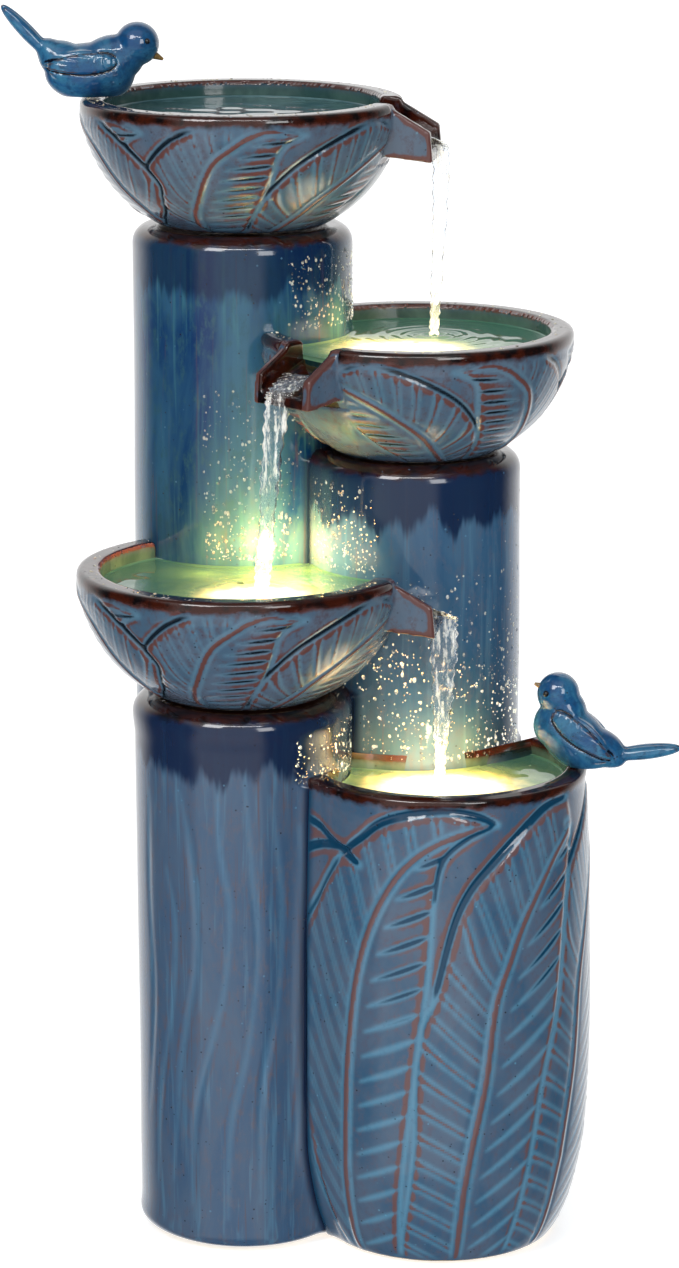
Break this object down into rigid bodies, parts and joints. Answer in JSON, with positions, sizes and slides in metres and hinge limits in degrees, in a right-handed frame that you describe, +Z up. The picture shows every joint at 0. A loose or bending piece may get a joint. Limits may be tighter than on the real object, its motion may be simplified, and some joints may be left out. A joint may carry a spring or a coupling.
{
  "type": "tabletop water fountain",
  "caption": "Tiered glazed-stoneware tabletop fountain: leaf-relief bowls with pouring spouts on joined columns, a deep basin, bird figures, and a hidden pump and lights.",
  "frame": {"origin": "centre of the object's box, on the surface it stands on", "axes": "+Z up, -Y towards the front, where the basin and the pouring steps face, +X to the right seen from the front"},
  "size_m": [0.2556, 0.1936, 0.4606],
  "materials": {
    "column_glaze": "glossy reactive blue glaze on stoneware, rust-brown breaks at the shoulders",
    "basin_glaze": "glossy reactive blue glaze on stoneware over carved leaves",
    "bowl_glaze": "glossy reactive slate-blue glaze, rust-brown rims",
    "bird_glaze": "glossy deep-blue glaze",
    "pump_plastic": "moulded black ABS",
    "rotor_magnet": "plastic-bonded ferrite magnet",
    "white_ceramic": "polished alumina pin",
    "rubber": "soft black rubber",
    "clear_vinyl": "clear flexible PVC",
    "spring_steel": "zinc-plated spring steel",
    "brass_thread": "turned brass",
    "lamp_shell": "sealed dark lamp shell",
    "lamp_lens": "clear lens, lit warm from inside",
    "circuit_board": "white-faced lamp board with three chips"
  },
  "bodies": {
    "fountain": {"column_tall": "column_glaze", "column_middle": "column_glaze", "column_short": "column_glaze", "basin": "basin_glaze", "bowl_top": "bowl_glaze", "bowl_middle": "bowl_glaze", "bowl_lower": "bowl_glaze", "bird_upper": "bird_glaze", "bird_lower": "bird_glaze", "pump_housing": "pump_plastic", "pump_chamber": "pump_plastic", "pump_shaft": "white_ceramic", "pump_bush_rear": "rubber", "pump_bush_front": "rubber", "pump_foot_1": "rubber", "pump_foot_2": "rubber", "pump_foot_3": "rubber", "pump_foot_4": "rubber", "supply_hose": "clear_vinyl", "hose_clip_lower": "spring_steel", "hose_clip_upper": "spring_steel", "inlet_fitting": "brass_thread", "inlet_washer": "rubber", "inlet_nut": "brass_thread", "light_middle_cup": "rubber", "light_middle_housing": "lamp_shell", "light_middle_board": "circuit_board", "light_middle_lens": "lamp_lens", "light_lower_cup": "rubber", "light_lower_housing": "lamp_shell", "light_lower_board": "circuit_board", "light_lower_lens": "lamp_lens", "light_basin_cup": "rubber", "light_basin_housing": "lamp_shell", "light_basin_board": "circuit_board", "light_basin_lens": "lamp_lens", "lead_middle": "rubber", "lead_lower": "rubber", "lead_basin": "rubber", "lead_splitter": "pump_plastic", "lead_grommet_middle": "rubber", "lead_grommet_lower": "rubber", "cord_gland": "rubber", "foot_pad_1": "rubber", "foot_pad_2": "rubber", "foot_pad_3": "rubber", "foot_pad_4": "rubber"},
    "impeller": {"pump_impeller": "rotor_magnet"},
    "intake_cover": {"pump_intake_cover": "pump_plastic"},
    "flow_dial": {"pump_flow_dial": "pump_plastic"}
  },
  "joints": [
    {"name": "impeller_spin", "type": "hinge", "parent": "fountain", "child": "impeller", "pos_m": [0.03208, -0.05474, 0.0292], "axis": [1, 0, 0], "continuous": true},
    {"name": "intake_cover_slide", "type": "slide", "parent": "fountain", "child": "intake_cover", "axis": [1, 0, 0], "range_m": [0, 0.01]},
    {"name": "flow_dial_turn", "type": "hinge", "parent": "intake_cover", "child": "flow_dial", "pos_m": [0.05408, -0.05474, 0.0292], "axis": [1, 0, 0], "range_deg": [-45, 45]}
  ]
}
